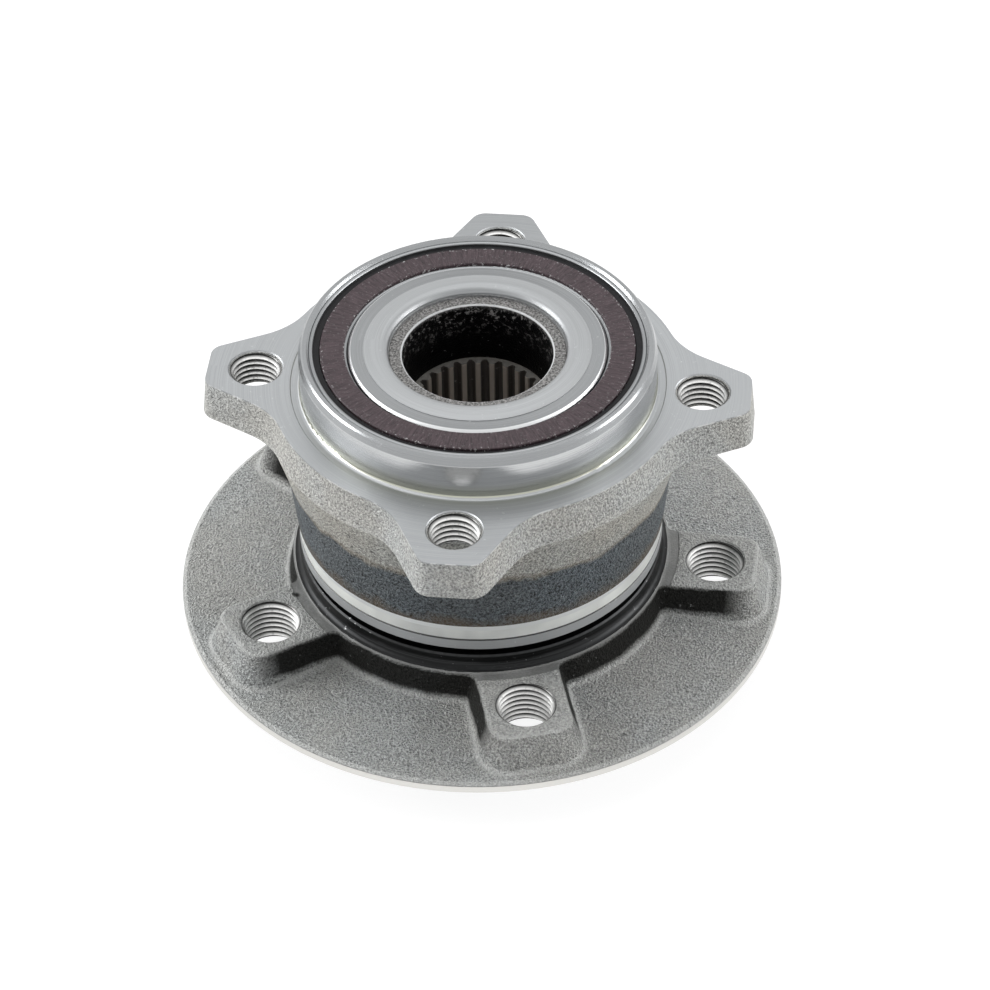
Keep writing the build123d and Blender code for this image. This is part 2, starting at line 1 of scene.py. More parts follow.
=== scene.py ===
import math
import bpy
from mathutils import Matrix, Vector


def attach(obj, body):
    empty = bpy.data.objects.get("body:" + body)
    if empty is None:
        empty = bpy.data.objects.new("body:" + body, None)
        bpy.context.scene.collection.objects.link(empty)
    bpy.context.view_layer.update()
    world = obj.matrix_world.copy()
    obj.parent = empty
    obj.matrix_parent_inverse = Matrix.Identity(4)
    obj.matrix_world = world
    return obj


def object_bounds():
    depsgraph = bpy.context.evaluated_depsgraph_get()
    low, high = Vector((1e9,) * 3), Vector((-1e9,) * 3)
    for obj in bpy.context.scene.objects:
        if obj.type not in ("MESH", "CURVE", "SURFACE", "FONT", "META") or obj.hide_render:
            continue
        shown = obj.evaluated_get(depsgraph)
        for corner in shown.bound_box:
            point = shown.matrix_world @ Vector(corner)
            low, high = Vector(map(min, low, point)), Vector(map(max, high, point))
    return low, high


bl_info = {
    "name": "Wheel Hub Bearing",
    "version": (1, 0, 0),
    "blender": (4, 5, 0),
    "location": "3D View > Sidebar > Hub Bearing",
    "description": "Finishes, threads and studio for a flanged wheel hub bearing",
    "category": "Object",
}

import bpy
from bpy.props import FloatProperty, FloatVectorProperty, IntProperty, PointerProperty
from mathutils import Matrix, Vector

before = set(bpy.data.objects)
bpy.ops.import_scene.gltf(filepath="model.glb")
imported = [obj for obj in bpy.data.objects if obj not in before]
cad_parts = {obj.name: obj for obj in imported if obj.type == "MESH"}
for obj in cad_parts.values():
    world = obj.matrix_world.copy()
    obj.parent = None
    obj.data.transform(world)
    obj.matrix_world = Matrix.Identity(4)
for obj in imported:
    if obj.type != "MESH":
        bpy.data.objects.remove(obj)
cad_low, cad_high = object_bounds()
MM = 0.001


# Sizes and colours that a user may change


def length(name, description, value):
    """A length property that defaults to a value in millimetres."""
    return FloatProperty(
        name=name, description=description, default=value * MM, unit="LENGTH", precision=4
    )


def angle(name, description, degrees):
    """An angle property that defaults to a value in degrees."""
    return FloatProperty(
        name=name, description=description, default=math.radians(degrees), subtype="ANGLE"
    )


def amount(name, description, value):
    """A plain number property that is never negative."""
    return FloatProperty(name=name, description=description, default=value, min=0.0)


def colour(name, description, red, green, blue):
    """A colour property with a linear default."""
    return FloatVectorProperty(
        name=name, description=description, default=(red, green, blue),
        subtype="COLOR", size=3, min=0.0, max=1.0,
    )


class HubThreadSizes(bpy.types.PropertyGroup):
    """Threads cut in the wheel bolt holes and the knuckle bolt holes."""

    pitch: length("Pitch", "Distance from crest to crest", 1.5)
    depth: length("Thread depth", "Height of the ridges above the hole's wall", 0.8)
    clearance: length("Clearance", "Gap between the thread's back and the hole's wall", 0.02)
    wheel_radius: length("Wheel hole radius", "Nominal radius of the wheel bolt threads", 7.0)
    wheel_circle: length("Wheel bolt circle", "Radius of the wheel bolt circle", 56.0)
    wheel_turn: angle("Wheel hole angle", "Angle of the first wheel bolt hole", -1.8)
    wheel_bottom: length("Wheel face", "Height of the face that the wheel bolts to", 0.0)
    wheel_top: length("Boss height", "Height of the bosses round the wheel bolt holes", 12.0)
    wheel_chamfer: length("Wheel hole chamfer", "Width of the chamfer at the bosses' holes", 0.35)
    knuckle_radius: length("Knuckle hole radius", "Nominal radius of the knuckle bolt threads", 6.0)
    knuckle_circle: length("Knuckle bolt circle", "Radius of the knuckle bolt circle", 51.75)
    knuckle_turn: angle("Knuckle hole angle", "Angle of the first knuckle bolt hole", 0.0)
    knuckle_top: length("Ear top", "Height of the ears' turned face", 62.5)
    knuckle_bottom: length("Ear underside", "Height of the ears' underside", 53.2)
    knuckle_chamfer: length("Knuckle hole chamfer", "Width of the chamfer at the ears' holes", 0.5)
    steps: IntProperty(name="Steps", description="Points round each thread", default=64, min=16)


class HubFinishColours(bpy.types.PropertyGroup):
    """Linear colours of the steel, rubber and plastic surfaces."""

    forged_hub: colour("Forged hub", "Blasted skin of the hub forging", 0.32, 0.324, 0.318)
    forged_body: colour("Forged body", "Dark tempered skin of the outer ring", 0.058, 0.066, 0.072)
    blasted_ear: colour("Blasted ears", "Blasted sides of the ears and flange", 0.34, 0.34, 0.33)
    tempered_web: colour("Tempered web", "Straw-coloured band under the ears", 0.31, 0.305, 0.285)
    turned_steel: colour("Turned steel", "Turned and ground steel", 0.355, 0.366, 0.374)
    bright_steel: colour("Bright steel", "Polished spigot, rim and edges", 0.62, 0.63, 0.635)
    # Painted shade for the hub's hollows, and the dark of the forging pit
    painted_shade_and_pit: colour("Dark scale", "Dark scale and oil in the hub's hollows", 0.008, 0.008, 0.007)
    rim_steel: colour("Flange rim", "Turned edge of the wheel flange", 0.70, 0.69, 0.66)
    # The satin band's own finish, painted near-white as a painted highlight
    satin_band_and_highlight: colour("Satin band", "Fine turned band at the outer ring's foot", 0.93, 0.95, 0.92)
    # A painted highlight along the chamfer over the satin band
    band_chamfer_highlight: colour("Band chamfer", "Chamfer over the satin band", 0.78, 0.80, 0.80)
    # A painted shadow under the step of the satin band
    groove_shadow: colour("Groove", "Oily groove under the satin band", 0.05, 0.05, 0.05)
    burr: colour("Burr", "Broken bright edge of the ears", 0.75, 0.75, 0.75)
    oil_film: colour("Oil film", "Yellow oil at the spigot's foot", 0.42, 0.42, 0.27)
    rust: colour("Rust", "Rust stain low on the dark body", 0.17, 0.115, 0.06)
    temper: colour("Temper", "Brown edge of the straw-coloured web", 0.13, 0.095, 0.05)
    # Partly dark scale and partly painted shade in the funnel's deep bore
    funnel: colour("Funnel", "Scale in the spindle's mouth", 0.003, 0.003, 0.0035)
    spindle: colour("Spindle end", "Rough rim of the spindle's end", 0.17, 0.167, 0.163)
    spline: colour("Spline", "Brown-grey flanks of the drive spline", 0.40, 0.36, 0.32)
    tooth_end: colour("Tooth ends", "Upper ends of the spline's teeth", 0.28, 0.27, 0.25)
    # Painted shade in the thread roots; the next colour is a painted highlight on the crests
    painted_root_shade: colour("Thread root", "Oily roots of the threads", 0.035, 0.035, 0.034)
    painted_crest_highlight: colour("Thread crest", "Bright crests of the threads", 0.72, 0.72, 0.71)
    thread_worn: colour("Worn thread", "Dull patches on the threads", 0.2, 0.2, 0.195)
    ball_dull: colour("Ball haze", "Hazy parts of the balls", 0.62, 0.63, 0.64)
    ball_bright: colour("Ball shine", "Clear parts of the balls", 0.74, 0.75, 0.76)
    sensor_rubber: colour("Sensor ring", "Magnetic rubber of the sensor ring", 0.040, 0.027, 0.031)
    seal_rubber: colour("Seal rubber", "Black rubber of the seals", 0.010, 0.010, 0.011)
    dust: colour("Dust", "Grey dust on the sensor ring", 0.5, 0.5, 0.5)
    cage_plastic: colour("Cage plastic", "Glass-filled plastic of the ball cages", 0.62, 0.52, 0.33)


class HubStudioSettings(bpy.types.PropertyGroup):
    """Camera, lamps and floor of the product shot."""

    elevation: angle("Elevation", "Camera's height angle above the floor", 42.8989)
    azimuth: angle("Azimuth", "Camera's angle round the hub", 6.5)
    distance: length("Distance", "Camera's distance from the hub's origin", 899.72)
    pan: angle("Pan", "Camera turned sideways", -0.22378)
    tilt: angle("Tilt", "Camera tipped upwards", 1.27805)
    roll: angle("Roll", "Camera turned about its view", 1.12453)
    lens: FloatProperty(
        name="Lens", description="Focal length in millimetres", default=135.527, min=10.0
    )
    floor_size: length("Floor size", "Side of the square floor", 6000.0)
    overhead_power: amount("Overhead lamp", "Power of the overhead lamp in watts", 13.5)
    left_power: amount("Left lamp", "Power of the left lamp in watts", 17.0)
    right_power: amount("Right lamp", "Power of the right lamp in watts", 11.5)
    room_light: amount("Room light", "Strength of the light from behind the hub", 0.6)
    front_light: amount("Front light", "Strength of the light from before the hub", 0.3)


# Small node helpers


def plug(tree, socket, value):
    """Links a socket, or sets a number or colour, on an input."""
    if isinstance(value, bpy.types.NodeSocket):
        tree.links.new(value, socket)
    elif hasattr(value, "__len__") and len(socket.default_value) == 4:
        socket.default_value = (*value[:3], 1.0)
    elif value is not None:
        socket.default_value = value


def maths(tree, operation, first, second=None):
    """A math node whose inputs are numbers or sockets; returns its output."""
    node = tree.nodes.new("ShaderNodeMath")
    node.operation = operation
    plug(tree, node.inputs[0], first)
    plug(tree, node.inputs[1], second)
    return node.outputs[0]


def add(tree, first, second):
    """The sum of two values."""
    return maths(tree, "ADD", first, second)


def times(tree, first, second):
    """The product of two values, or what two masks share."""
    return maths(tree, "MULTIPLY", first, second)


def most(tree, first, second):
    """The greater of two values, or two masks joined."""
    return maths(tree, "MAXIMUM", first, second)


def without(tree, mask):
    """The opposite of a mask."""
    return maths(tree, "SUBTRACT", 1.0, mask)


def ramp(tree, value, low, high, start=0.0, stop=1.0):
    """A value stretched so that low becomes start and high becomes stop, and held there beyond."""
    node = tree.nodes.new("ShaderNodeMapRange")
    plug(tree, node.inputs["Value"], value)
    ends = {"From Min": low, "From Max": high, "To Min": start, "To Max": stop}
    for name, end in ends.items():
        plug(tree, node.inputs[name], end)
    return node.outputs["Result"]


def over(tree, value, limit, soft=0.05):
    """A mask that is 1 where a value is over a limit, with a soft edge."""
    return ramp(tree, value, limit - soft, limit + soft)


def under(tree, value, limit, soft=0.05):
    """A mask that is 1 where a value is under a limit, with a soft edge."""
    return without(tree, over(tree, value, limit, soft))


def between(tree, value, low, high, soft=0.05):
    """A mask that is 1 where a value lies between two limits."""
    return times(tree, over(tree, value, low, soft), under(tree, value, high, soft))


def blend(tree, share, first, second, kind="MIX"):
    """Two colours mixed by a share; each may be a socket or a colour."""
    node = tree.nodes.new("ShaderNodeMix")
    node.data_type = "RGBA"
    node.blend_type = kind
    plug(tree, node.inputs[0], share)
    plug(tree, node.inputs[6], first)
    plug(tree, node.inputs[7], second)
    return node.outputs[2]


def mix(tree, share, first, second):
    """Two numbers mixed by a share; each may be a socket or a number."""
    node = tree.nodes.new("ShaderNodeMix")
    node.data_type = "FLOAT"
    plug(tree, node.inputs[0], share)
    plug(tree, node.inputs[2], first)
    plug(tree, node.inputs[3], second)
    return node.outputs[0]


def noise(tree, vector, scale, detail=2.0, roughness=0.55):
    """A noise texture read along a vector."""
    node = tree.nodes.new("ShaderNodeTexNoise")
    plug(tree, node.inputs["Vector"], vector)
    plug(tree, node.inputs["Scale"], scale)
    plug(tree, node.inputs["Detail"], detail)
    plug(tree, node.inputs["Roughness"], roughness)
    return node.outputs["Fac"]


def spot(tree, x, y, z):
    """Three numbers put together as a vector."""
    node = tree.nodes.new("ShaderNodeCombineXYZ")
    for socket, value in zip(node.inputs, (x, y, z)):
        plug(tree, socket, value)
    return node.outputs[0]


def shade(paint, share):
    """A colour made lighter or darker by a share."""
    return tuple(min(1.0, part * share) for part in paint)


def tones(tree, share, paint, first, second):
    """A mix of two shades of one colour."""
    return blend(tree, share, shade(paint, first), shade(paint, second))


def seen_directly(tree):
    """1 for the rays that show a surface to the camera, straight, mirrored or through glass."""
    path = tree.nodes.new("ShaderNodeLightPath")
    seen = most(tree, path.outputs["Is Camera Ray"], path.outputs["Is Glossy Ray"])
    return most(tree, seen, path.outputs["Is Transmission Ray"])


NUMBER, VECTOR, COLOUR = "NodeSocketFloat", "NodeSocketVector", "NodeSocketColor"


def new_group(name, inputs, outputs):
    """An empty shader node group with named sockets, and its two ends."""
    group = bpy.data.node_groups.new(name, "ShaderNodeTree")
    for label, value in inputs.items():
        kind = VECTOR if value is None else NUMBER
        socket = group.interface.new_socket(name=label, in_out="INPUT", socket_type=kind)
        if value is not None:
            socket.default_value = value
    for label, kind in outputs.items():
        group.interface.new_socket(name=label, in_out="OUTPUT", socket_type=kind)
    return group, group.nodes.new("NodeGroupInput"), group.nodes.new("NodeGroupOutput")


def place_group(tree, group, **values):
    """Places a group in a tree, with its inputs set or linked by name."""
    node = tree.nodes.new("ShaderNodeGroup")
    node.node_tree = group
    for name, value in values.items():
        plug(tree, node.inputs[name.replace("_", " ")], value)
    return node


# Effects that several finishes share: an input without a default is a place in the frame


def build_turning_place():
    """Radius and height of a point in millimetres, and its angle in turns."""
    group, start, end = new_group(
        "Turning Place",
        {"Place": None},
        {"Radius": NUMBER, "Height": NUMBER, "Angle": NUMBER},
    )
    split = group.nodes.new("ShaderNodeSeparateXYZ")
    plug(group, split.inputs[0], start.outputs["Place"])
    x, y, z = split.outputs
    squares = add(group, times(group, x, x), times(group, y, y))
    plug(group, end.inputs["Radius"], times(group, maths(group, "SQRT", squares), 1 / MM))
    plug(group, end.inputs["Height"], times(group, z, 1 / MM))
    turns = times(group, maths(group, "ARCTAN2", y, x), 0.5 / math.pi)
    plug(group, end.inputs["Angle"], turns)
    return group


def build_forged_grain():
    """Blasted forging skin: an orange peel with pits, as a height and as a speckle."""
    group, start, end = new_group(
        "Forged Grain",
        {"Place": None, "Size": 1300.0, "Pits": 0.2},
        {"Height": NUMBER, "Speckle": NUMBER},
    )
    place, size = start.outputs["Place"], start.outputs["Size"]
    peel = noise(group, place, size, 1.5, 0.55)
    grit = noise(group, place, times(group, size, 2.3), 1.0, 0.5)
    pits = over(group, noise(group, place, times(group, size, 0.4), 2.0, 0.6), 0.70, 0.05)
    pits = times(group, pits, start.outputs["Pits"])
    height = add(group, times(group, peel, 0.7), times(group, grit, 0.3))
    height = maths(group, "SUBTRACT", height, pits)
    plug(group, end.inputs["Height"], height)
    plug(group, end.inputs["Speckle"], ramp(group, height, 0.33, 0.66))
    return group


def build_tool_lines():
    """Fine lines left by a turning tool, running round the axis."""
    group, start, end = new_group(
        "Tool Lines",
        {"Across": 0.0, "Angle": 0.0, "Fineness": 6.0},
        {"Height": NUMBER, "Shade": NUMBER},
    )
    across = times(group, start.outputs["Across"], start.outputs["Fineness"])
    along = times(group, start.outputs["Angle"], 2.5)
    lines = noise(group, spot(group, across, along, 0.0), 1.0, 3.0, 0.75)
    plug(group, end.inputs["Height"], lines)
    plug(group, end.inputs["Shade"], ramp(group, lines, 0.3, 0.7))
    return group


def build_soft_patches():
    """Large faint patches of oil and tempering colour."""
    group, start, end = new_group(
        "Soft Patches",
        {"Place": None, "Size": 60.0},
        {"Mask": NUMBER, "Tint": COLOUR},
    )
    cloud = noise(group, start.outputs["Place"], start.outputs["Size"], 3.0, 0.6)
    plug(group, end.inputs["Mask"], ramp(group, cloud, 0.35, 0.66))
    cool, warm = (0.97, 0.99, 1.0), (1.0, 0.99, 0.965)
    tint = blend(group, ramp(group, cloud, 0.4, 0.6), cool, warm)
    plug(group, end.inputs["Tint"], tint)
    return group


def build_scuffs():
    """Sparse short scratches, nicks and dust specks."""
    group, start, end = new_group(
        "Scuffs",
        {"Place": None, "Size": 700.0},
        {"Mask": NUMBER},
    )
    place, size = start.outputs["Place"], start.outputs["Size"]
    patches = over(group, noise(group, place, times(group, size, 0.1)), 0.52, 0.08)
    specks = over(group, noise(group, place, size, 3.0, 0.7), 0.68, 0.03)
    plug(group, end.inputs["Mask"], times(group, patches, specks))
    return group


effect_makers = {
    "place": build_turning_place,
    "grain": build_forged_grain,
    "lines": build_tool_lines,
    "patches": build_soft_patches,
    "scuffs": build_scuffs,
}
effects = {}


def effect(name):
    """The shared effect of that name, built when it is first asked for."""
    if name not in effects:
        effects[name] = effect_makers[name]()
    return effects[name]


class Finish:
    """A material with its shader and the position values that its layers start from."""

    def __init__(self, name):
        self.material = bpy.data.materials.new(name)
        self.material.use_nodes = True
        self.tree = self.material.node_tree
        self.tree.nodes.clear()
        self.shader = self.tree.nodes.new("ShaderNodeBsdfPrincipled")
        output = self.tree.nodes.new("ShaderNodeOutputMaterial")
        plug(self.tree, output.inputs["Surface"], self.shader.outputs[0])
        coords = self.tree.nodes.new("ShaderNodeTexCoord")
        self.place = coords.outputs["Object"]
        where = place_group(self.tree, effect("place"), Place=self.place).outputs
        self.radius, self.height, self.angle = where["Radius"], where["Height"], where["Angle"]
        facing = self.tree.nodes.new("ShaderNodeSeparateXYZ")
        plug(self.tree, facing.inputs[0], coords.outputs["Normal"])
        self.facing_up = facing.outputs["Z"]

    def use(self, name, **values):
        """Places a shared effect and returns its outputs."""
        return place_group(self.tree, effect(name), **values).outputs

    def feed(self, **values):
        """Sets or links the shader's inputs by name."""
        for name, value in values.items():
            plug(self.tree, self.shader.inputs[name.replace("_", " ")], value)

    def raise_surface(self, height, distance):
        """Bumps the surface by a height, where 1 stands for a distance in millimetres."""
        node = self.tree.nodes.new("ShaderNodeBump")
        node.inputs["Distance"].default_value = distance * MM
        plug(self.tree, node.inputs["Height"], height)
        plug(self.tree, self.shader.inputs["Normal"], node.outputs[0])

    def turned(self, amount):
        """Stretches reflections across the tool marks of a turned surface."""
        tangent = self.tree.nodes.new("ShaderNodeTangent")
        tangent.direction_type = "RADIAL"
        tangent.axis = "Z"
        self.shader.inputs["Anisotropic"].default_value = amount
        plug(self.tree, self.shader.inputs["Tangent"], tangent.outputs[0])


# Finishes: noise is sized in cells per metre, radii and heights are in millimetres


def hub_forging_finish(paint):
    """Forged flange and bosses, neck painted dark as painted shade, rolled collar, rough spindle
    end and spline.
    """
    look = Finish("hub_forging")
    tree, radius, height, up = look.tree, look.radius, look.height, look.facing_up

    # Where one surface of the hub ends and the next begins
    wheel_face, pilot_radius, nut_seat = 0.25, 37.0, 4.6
    rim_radius, rim_foot, rim_top = 70.93, 0.3, 2.42
    boss_edge, step_foot, step_top, neck_foot, boss_face = 10.9, 11.6, 11.85, 11.86, 12.0
    step_radius, neck_top = 47.28, 15.75
    bore_radius, bore_foot, tooth_top, bore_top = 17.0, 4.5, 55.3, 55.6
    tooth_radius, groove_radius = 14.4, 14.9
    funnel_radius, lip_inside, lip_outside, funnel_top = 17.38, 17.35, 17.72, 70.2
    spindle_bore, spindle_rim, spindle_foot = 16.2, 20.42, 63.0

    grain = look.use("grain", Place=look.place, Size=1950.0, Pits=0.2)
    patches = look.use("patches", Place=look.place, Size=38.0)
    scuffs = look.use("scuffs", Place=look.place, Size=900.0)
    lines = look.use("lines", Across=add(tree, radius, height), Angle=look.angle, Fineness=5.0)
    wander = times(tree, maths(tree, "SUBTRACT", noise(tree, look.place, 130.0), 0.5), 3.0)

    # Painted shade in the hollows between the bosses and round the neck
    edge = add(tree, height, times(tree, wander, 0.8))
    steep = without(tree, ramp(tree, up, 0.45, 0.9))
    steep = times(tree, steep, between(tree, edge, 5.4, step_foot, 0.7))
    flank = times(tree, steep, without(tree, ramp(tree, radius, 60.0, 66.5)))
    round_neck = without(tree, ramp(tree, add(tree, radius, wander), 46.0, 49.5))
    round_neck = times(tree, round_neck, between(tree, edge, 5.2, step_foot, 0.7))
    dark = most(tree, times(tree, flank, 0.96), times(tree, round_neck, 0.95))

    # Forged skin, with a painted highlight along the fillets, and lighter on the boss tops
    forged = tones(tree, grain["Speckle"], paint.forged_hub, 0.36, 1.9)
    forged = blend(tree, 1.0, forged, patches["Tint"], "MULTIPLY")
    forged = blend(tree, times(tree, patches["Mask"], 0.25), forged, shade(paint.forged_hub, 1.25))
    # Painted highlight along the fillets
    painted_fillet_highlight = times(tree, between(tree, up, 0.6, 0.955, 0.07), under(tree, height, boss_face))
    forged = blend(tree, times(tree, painted_fillet_highlight, 0.55), forged, shade(paint.forged_hub, 1.9))
    # Painted shade in the hollows
    forged = blend(tree, dark, forged, paint.painted_shade_and_pit)
    on_boss = times(tree, over(tree, height, boss_edge, 0.3), over(tree, up, 0.8, 0.1))
    forged = blend(tree, times(tree, on_boss, 0.3), forged, shade(paint.forged_hub, 1.15))

    # Turned step, neck, rim, faces and collar; the step and the neck are painted dark as painted
    # shade
    step = times(tree, between(tree, height, step_foot, step_top), under(tree, radius, step_radius))
    # Painted shade on the step under the outer ring
    forged = blend(tree, times(tree, step, 0.7), forged, shade(paint.forged_hub, 0.68))
    neck = times(tree, between(tree, height, neck_foot, neck_top), under(tree, radius, step_radius))
    outside_rim = times(tree, over(tree, radius, rim_radius), under(tree, height, rim_top))
    faces = most(tree, under(tree, height, wheel_face), over(tree, height, neck_top))
    underneath = times(tree, under(tree, radius, pilot_radius), under(tree, height, nut_seat))
    turned_zone = most(tree, most(tree, outside_rim, faces), underneath)
    steel = tones(tree, lines["Shade"], paint.turned_steel, 0.86, 1.12)
    rim = times(tree, over(tree, radius, rim_radius), between(tree, height, rim_foot, rim_top))
    steel = blend(tree, rim, steel, paint.rim_steel)
    colour = blend(tree, turned_zone, forged, steel)
    # Painted shade: the neck's turned steel painted nearly black
    painted_neck_shade = tones(tree, lines["Shade"], paint.turned_steel, 0.02, 0.12)
    colour = blend(tree, neck, colour, painted_neck_shade)

    # Rough end of the spindle, with a bright lip round its mouth
    spindle = between(tree, radius, spindle_bore, spindle_rim)
    spindle = times(tree, spindle, over(tree, height, spindle_foot, 2.0))
    pitted = noise(tree, look.place, 1900.0, 3.0, 0.7)
    rough_end = tones(tree, ramp(tree, pitted, 0.38, 0.62), paint.spindle, 0.25, 2.1)
    lip = between(tree, radius, lip_inside, lip_outside, 0.03)
    lip = times(tree, lip, over(tree, height, funnel_top))
    rough_end = blend(tree, lip, rough_end, paint.bright_steel)
    colour = blend(tree, spindle, colour, rough_end)

    # Funnel painted near-black, partly dark scale and partly painted shade, with bare flecks near
    # its top
    funnel = under(tree, radius, funnel_radius)
    funnel = times(tree, funnel, between(tree, height, tooth_top, funnel_top, 0.2))
    near_top = ramp(tree, add(tree, height, times(tree, wander, 2.0)), 62.0, 69.0)
    flecks = over(tree, noise(tree, look.place, 850.0, 4.0, 0.75), 0.58, 0.03)
    flecks = times(tree, near_top, flecks)
    scale = blend(tree, flecks, paint.funnel, shade(paint.spindle, 2.0))
    colour = blend(tree, funnel, colour, scale)

    # Spline: lands painted light and grooves painted dark as painted light and shade, and grey
    # tooth ends
    bore = times(tree, under(tree, radius, bore_radius), between(tree, height, bore_foot, bore_top))
    land = without(tree, ramp(tree, radius, tooth_radius, groove_radius))
    spline_colour = tones(tree, land, paint.spline, 0.25, 1.5)
    tooth_end = times(tree, over(tree, height, tooth_top), over(tree, up, 0.5))
    spline_colour = blend(tree, tooth_end, spline_colour, paint.tooth_end)
    colour = blend(tree, bore, colour, spline_colour)
    colour = blend(tree, times(tree, scuffs["Mask"], 0.5), colour, paint.bright_steel)

    # One dark forging pit beside a boss
    pit_place = (-41.6, -21.9, 12.0)
    apart = tree.nodes.new("ShaderNodeVectorMath")
    apart.operation = "DISTANCE"
    plug(tree, apart.inputs[0], look.place)
    apart.inputs[1].default_value = [part * MM for part in pit_place]
    from_pit = times(tree, apart.outputs["Value"], 1 / MM)
    pit = without(tree, ramp(tree, add(tree, from_pit, times(tree, wander, 0.4)), 0.7, 1.2))
    colour = blend(tree, pit, colour, paint.painted_shade_and_pit)

    smooth = most(tree, turned_zone, neck)
    rough_zone = most(tree, spindle, most(tree, funnel, bore))
    roughness = mix(tree, smooth, 0.6, mix(tree, lines["Shade"], 0.30, 0.40))
    roughness = mix(tree, rough_zone, roughness, 0.55)
    metal = mix(tree, smooth, mix(tree, dark, 0.35, 1.0), 0.97)
    metal = mix(tree, most(tree, rough_zone, tooth_end), metal, mix(tree, funnel, 0.3, 1.0))
    look.feed(Base_Color=colour, Roughness=roughness, Metallic=metal)
    look.turned(0.45)
    relief = times(tree, grain["Height"], mix(tree, on_boss, 3.4, 2.4))
    relief = maths(tree, "SUBTRACT", relief, times(tree, pit, 1.5))
    relief = mix(tree, smooth, relief, times(tree, lines["Height"], 0.025))
    relief = mix(tree, step, relief, times(tree, grain["Height"], 0.25))
    relief = mix(tree, most(tree, spindle, funnel), relief, times(tree, pitted, 0.9))
    look.raise_surface(relief, 0.5)
    return look.material


def outer_ring_finish(paint):
    """Turned spigot, faces and band, blasted ear sides, straw-coloured web and dark body."""
    look = Finish("outer_ring_forging")
    tree, radius, height, up = look.tree, look.radius, look.height, look.facing_up

    # Where one surface of the ring ends and the next begins
    inside_radius, spigot_radius = 39.3, 42.3
    ring_foot, low_band_top, groove_foot, groove_top, band_top = 17.0, 20.45, 20.42, 20.98, 25.2
    satin_foot, chamfer_foot, chamfer_top = 21.0, 23.7, 25.15
    body_top, border_foot, border_top, ear_foot = 40.3, 39.4, 41.6, 53.0
    burr_foot, ear_face, burr_top, spigot_foot, ring_end = 62.1, 62.2, 62.47, 62.7, 71.5

    grain = look.use("grain", Place=look.place, Size=1900.0, Pits=0.15)
    coarse = look.use("grain", Place=look.place, Size=1800.0, Pits=0.25)
    patches = look.use("patches", Place=look.place, Size=45.0)
    scuffs = look.use("scuffs", Place=look.place, Size=1000.0)
    lines = look.use("lines", Across=add(tree, radius, height), Angle=look.angle, Fineness=4.5)
    wander = maths(tree, "SUBTRACT", noise(tree, look.place, 110.0, 4.0, 0.65), 0.5)

    def wavy(share):
        """The height with a wandering error, for an uneven border."""
        return add(tree, height, times(tree, wander, share))

    # Dark body, straw-coloured web and blasted ears, one over the other
    body = tones(tree, coarse["Speckle"], paint.forged_body, 0.08, 3.2)
    stain = ramp(tree, wavy(9.0), 29.0, 26.0)
    body = blend(tree, times(tree, stain, 0.4), body, paint.rust)
    web = tones(tree, coarse["Speckle"], paint.tempered_web, 0.5, 2.0)
    border = between(tree, wavy(7.0), border_foot, border_top, 0.8)
    web = blend(tree, times(tree, border, 0.5), web, paint.temper)
    ears = tones(tree, grain["Speckle"], paint.blasted_ear, 0.5, 1.75)
    colour = blend(tree, over(tree, wavy(6.0), body_top, 0.7), body, web)
    colour = blend(tree, over(tree, wavy(2.0), ear_foot, 0.5), colour, ears)
    colour = blend(tree, 1.0, colour, patches["Tint"], "MULTIPLY")

    # Turned faces, spigot and band
    band = under(tree, height, band_top)
    inside = under(tree, radius, inside_radius)
    turned_zone = most(tree, over(tree, height, ear_face), most(tree, band, inside))
    steel = tones(tree, lines["Shade"], paint.turned_steel, 0.85, 1.12)
    spigot = times(tree, over(tree, height, spigot_foot, 0.1), under(tree, radius, spigot_radius))
    steel = blend(tree, spigot, steel, tones(tree, lines["Shade"], paint.bright_steel, 0.75, 1.05))
    oily_foot = times(tree, spigot, without(tree, ramp(tree, height, 63.5, 66.5)))
    steel = blend(tree, times(tree, oily_foot, 0.5), steel, paint.oil_film)
    low_band = under(tree, height, low_band_top)
    steel = blend(tree, times(tree, low_band, 0.6), steel, shade(paint.turned_steel, 1.2))
    # Painted shadow: a dark line under the step between the two bands
    steel = blend(tree, between(tree, height, groove_foot, groove_top, 0.03), steel, paint.groove_shadow)
    # The satin band painted near-white: its own finish and a painted highlight
    satin = between(tree, height, satin_foot, band_top)
    satin_highlight_share = times(tree, satin, mix(tree, patches["Mask"], 0.5, 1.0))
    steel = blend(tree, satin_highlight_share, steel, paint.satin_band_and_highlight)
    steel = blend(tree, over(tree, height, ring_end, 0.1), steel, shade(paint.turned_steel, 0.95))
    # Painted highlight: the chamfer over the band painted as a bright strip
    steel = blend(tree, between(tree, height, chamfer_foot, chamfer_top), steel, paint.band_chamfer_highlight)
    colour = blend(tree, turned_zone, colour, steel)

    # Broken bright edge under the ears' turned face
    burr = times(tree, between(tree, height, burr_foot, burr_top), under(tree, up, 0.5))
    broken = over(tree, noise(tree, look.place, 260.0, 3.0), 0.5, 0.04)
    colour = blend(tree, times(tree, burr, times(tree, broken, 0.6)), colour, paint.burr)
    colour = blend(tree, times(tree, scuffs["Mask"], 0.6), colour, paint.bright_steel)

    roughness = mix(tree, turned_zone, 0.6, mix(tree, lines["Shade"], 0.40, 0.50))
    roughness = mix(tree, spigot, roughness, mix(tree, lines["Shade"], 0.13, 0.22))
    roughness = mix(tree, satin, roughness, 0.3)
    dull_band = between(tree, height, ring_foot, band_top)
    metal = mix(tree, dull_band, mix(tree, turned_zone, 0.35, 0.95), 0.45)
    look.feed(Base_Color=colour, Roughness=roughness, Metallic=metal)
    look.turned(0.55)
    skin = times(tree, coarse["Height"], 3.4)
    skin = mix(tree, over(tree, height, ear_foot, 0.5), skin, times(tree, grain["Height"], 1.6))
    look.raise_surface(mix(tree, turned_zone, skin, times(tree, lines["Height"], 0.04)), 0.5)
    return look.material


